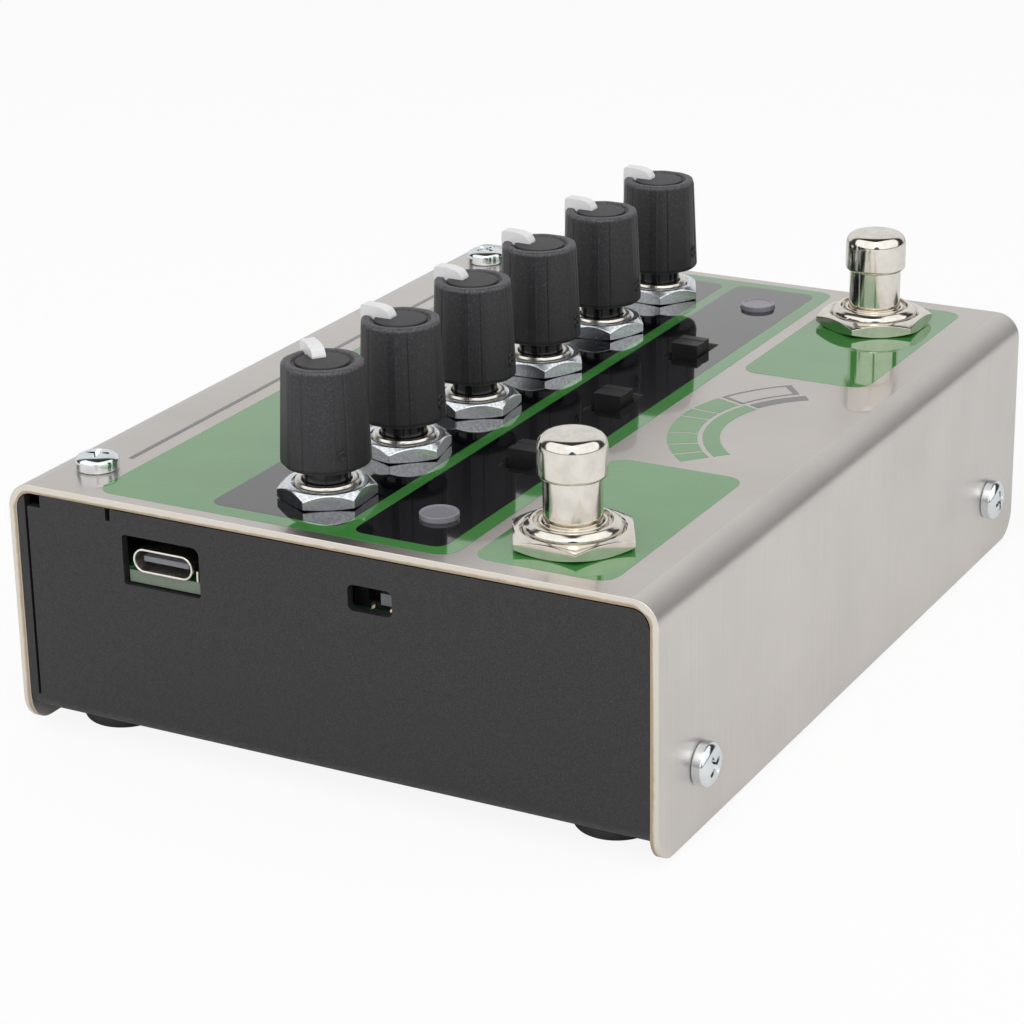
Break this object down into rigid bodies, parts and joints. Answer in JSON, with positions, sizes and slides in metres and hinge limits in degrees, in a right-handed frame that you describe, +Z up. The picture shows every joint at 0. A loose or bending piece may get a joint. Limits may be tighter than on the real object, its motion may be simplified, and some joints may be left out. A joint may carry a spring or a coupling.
{
  "type": "tape echo pedal",
  "caption": "Low folded-steel effects pedal with a row of pointer knobs, slide switches, footswitches, indicator lenses, a side data port and rear jacks.",
  "frame": {"origin": "centre of the bounding box's underside, in the plane of the feet", "axes": "+X to the player's right, +Y away from the player towards the rear jacks, +Z up"},
  "size_m": [0.122, 0.0988, 0.0534],
  "materials": {
    "steel": "brushed, printed top",
    "powder_coat": "fine-textured powder coat",
    "rubber": "matt",
    "zinc": "blue zinc plate",
    "bright_nickel": "bright nickel plate",
    "soft_touch": "soft-touch",
    "white_plastic": "smooth",
    "black_plastic": "satin",
    "grey_plastic": "satin",
    "blue_plastic": "satin",
    "brown_phenolic": "matt",
    "clear_lens": "milky clear",
    "board_green": "solder mask",
    "tinned_brass": "tinned",
    "can_aluminium": "satin"
  },
  "bodies": {
    "housing": {"cover": "steel", "base": "powder_coat", "feet": "rubber", "case_screws": "zinc", "press_nuts": "zinc", "main_board": "board_green", "small_boards": "board_green", "board_headers": "black_plastic", "board_chips": "black_plastic", "capacitors": "can_aluminium", "usb_shell": "bright_nickel", "usb_tongue": "black_plastic", "pot_bodies": "board_green", "pot_bushings": "zinc", "pot_nuts": "zinc", "footswitch_bodies": "blue_plastic", "footswitch_bushings": "bright_nickel", "footswitch_nuts": "bright_nickel", "footswitch_lugs": "tinned_brass", "slide_frames": "bright_nickel", "slide_bases": "brown_phenolic", "led_lenses": "clear_lens", "led_spacers": "black_plastic", "side_switch_body": "black_plastic", "side_switch_legs": "tinned_brass", "jack_bodies": "black_plastic", "jack_bushings": "bright_nickel", "jack_washers": "bright_nickel", "jack_nuts": "bright_nickel", "dc_jack_body": "black_plastic", "dc_jack_pin": "tinned_brass"},
    "knob_1": {"knob_1": "soft_touch", "pointer_1": "white_plastic", "shaft_1": "black_plastic"},
    "knob_2": {"knob_2": "soft_touch", "pointer_2": "white_plastic", "shaft_2": "black_plastic"},
    "knob_3": {"knob_3": "soft_touch", "pointer_3": "white_plastic", "shaft_3": "black_plastic"},
    "knob_4": {"knob_4": "soft_touch", "pointer_4": "white_plastic", "shaft_4": "black_plastic"},
    "knob_5": {"knob_5": "soft_touch", "pointer_5": "white_plastic", "shaft_5": "black_plastic"},
    "knob_6": {"knob_6": "soft_touch", "pointer_6": "white_plastic", "shaft_6": "black_plastic"},
    "plunger_1": {"plunger_1": "bright_nickel"},
    "plunger_2": {"plunger_2": "bright_nickel"},
    "slider_1": {"slider_1": "black_plastic"},
    "slider_2": {"slider_2": "black_plastic"},
    "slider_3": {"slider_3": "black_plastic"},
    "side_actuator": {"side_switch_actuator": "grey_plastic"}
  },
  "joints": [
    {"name": "knob_turn_1", "type": "hinge", "parent": "housing", "child": "knob_1", "pos_m": [-0.04775, 0.00505, 0.0391], "axis": [0, 0, -1], "range_deg": [-188, 112]},
    {"name": "knob_turn_2", "type": "hinge", "parent": "housing", "child": "knob_2", "pos_m": [-0.02865, 0.00505, 0.0391], "axis": [0, 0, -1], "range_deg": [-150, 150]},
    {"name": "knob_turn_3", "type": "hinge", "parent": "housing", "child": "knob_3", "pos_m": [-0.00955, 0.00505, 0.0391], "axis": [0, 0, -1], "range_deg": [-150, 150]},
    {"name": "knob_turn_4", "type": "hinge", "parent": "housing", "child": "knob_4", "pos_m": [0.00955, 0.00505, 0.0391], "axis": [0, 0, -1], "range_deg": [-150, 150]},
    {"name": "knob_turn_5", "type": "hinge", "parent": "housing", "child": "knob_5", "pos_m": [0.02865, 0.00505, 0.0391], "axis": [0, 0, -1], "range_deg": [-150, 150]},
    {"name": "knob_turn_6", "type": "hinge", "parent": "housing", "child": "knob_6", "pos_m": [0.04775, 0.00505, 0.0391], "axis": [0, 0, -1], "range_deg": [-150, 150]},
    {"name": "footswitch_press_1", "type": "slide", "parent": "housing", "child": "plunger_1", "axis": [0, 0, -1], "range_m": [0, 0.002], "stiffness_N_per_m": 1500, "springref_m": -0.004},
    {"name": "footswitch_press_2", "type": "slide", "parent": "housing", "child": "plunger_2", "axis": [0, 0, -1], "range_m": [0, 0.002], "stiffness_N_per_m": 1500, "springref_m": -0.004},
    {"name": "slide_switch_1", "type": "slide", "parent": "housing", "child": "slider_1", "axis": [1, 0, 0], "range_m": [-0.0024, 0.0024]},
    {"name": "slide_switch_2", "type": "slide", "parent": "housing", "child": "slider_2", "axis": [1, 0, 0], "range_m": [-0.0024, 0.0024]},
    {"name": "slide_switch_3", "type": "slide", "parent": "housing", "child": "slider_3", "axis": [1, 0, 0], "range_m": [-0.0024, 0.0024]},
    {"name": "side_switch_slide", "type": "slide", "parent": "housing", "child": "side_actuator", "axis": [0, 1, 0], "range_m": [0, 0.0022]}
  ]
}
